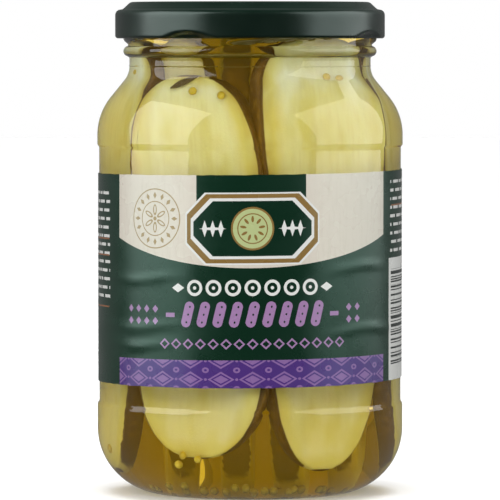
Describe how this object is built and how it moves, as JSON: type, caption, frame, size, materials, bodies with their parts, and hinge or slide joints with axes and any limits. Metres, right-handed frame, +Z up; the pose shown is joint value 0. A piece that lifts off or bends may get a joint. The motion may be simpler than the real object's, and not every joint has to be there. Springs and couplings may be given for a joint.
{
  "type": "pickle jar",
  "caption": "Shut glass jar of long sliced gherkins in brine, with a dark green twist-off lid and a printed paper wrap label.",
  "frame": {"origin": "centre of the ring that the jar stands on, level with the surface under it", "axes": "+Z up along the jar's axis; the label's front faces -Y, with +X to the right of someone who looks at the front"},
  "size_m": [0.0826, 0.0826, 0.1327],
  "materials": {
    "glass": "clear flint glass, smooth and glossy",
    "lid_lacquer": "very dark green satin lacquer on tinplate",
    "label_paper": "printed paper, dark green with cream, white and purple fields, satin",
    "gherkin": "wet pickled gherkin flesh, pale yellow-green with ochre rims, in golden brine"
  },
  "bodies": {
    "root": {"jar_glass": "glass", "lid": "lid_lacquer", "label": "label_paper", "gherkin_slices": "gherkin"}
  },
  "joints": []
}
